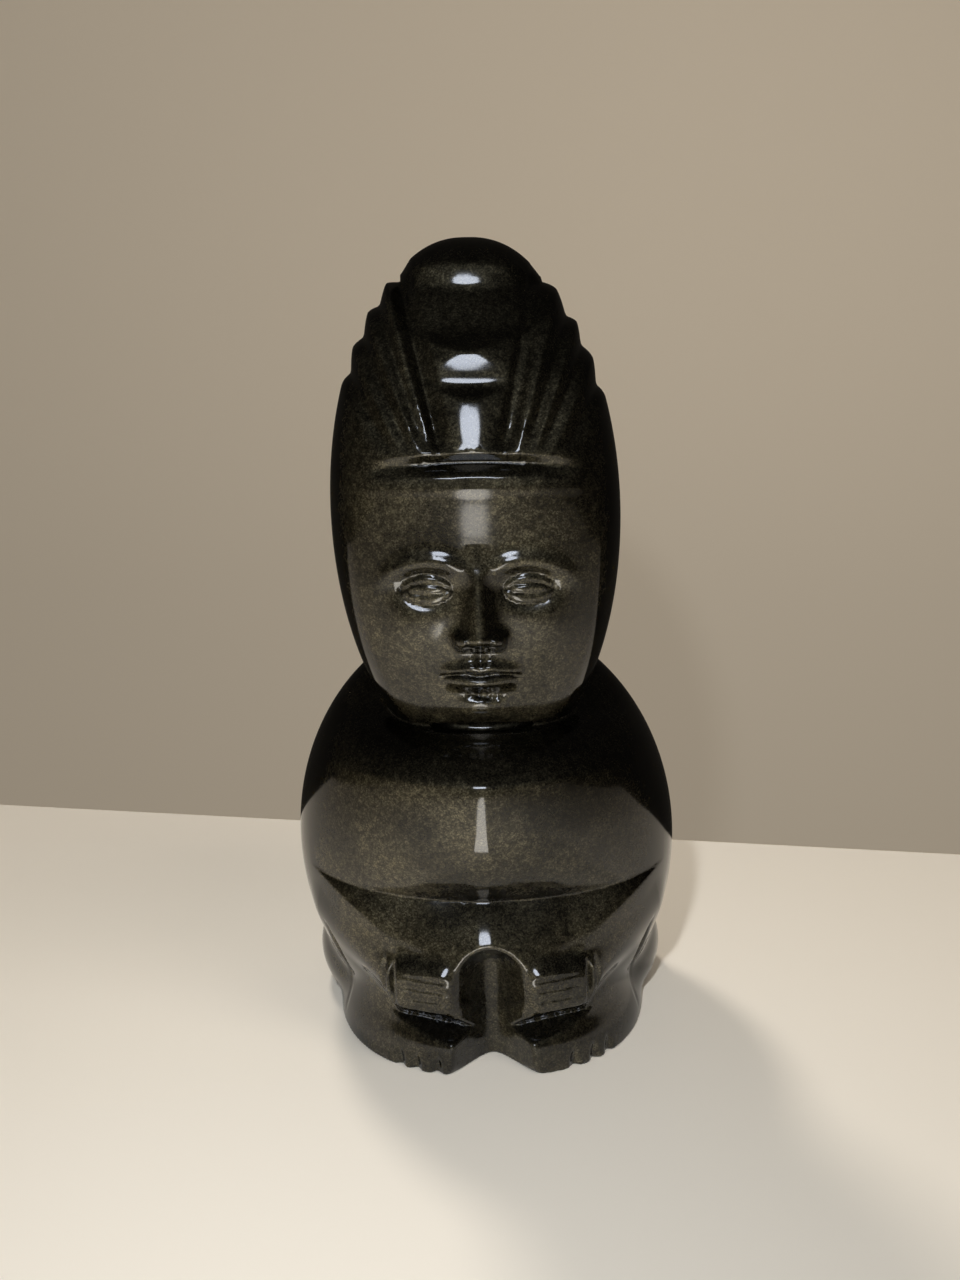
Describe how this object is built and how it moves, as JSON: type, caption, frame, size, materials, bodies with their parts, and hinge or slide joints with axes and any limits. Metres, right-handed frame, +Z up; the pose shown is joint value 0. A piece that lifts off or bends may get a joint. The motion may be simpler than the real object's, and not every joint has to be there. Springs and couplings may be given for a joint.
{
  "type": "obsidian statuette",
  "caption": "Polished squatting figure with a tall feather headdress, carved from one block of volcanic glass; stands on its flat underside.",
  "frame": {"origin": "centre of the bounding box on the flat underside, where the figure stands", "axes": "+Z up along the figure, -Y the way the figure faces, +X to the right as one faces it"},
  "size_m": [0.076, 0.0642, 0.1475],
  "materials": {
    "obsidian": "polished, near black with a fine olive-gold sheen"
  },
  "bodies": {
    "root": {"statuette": "obsidian"}
  },
  "joints": []
}
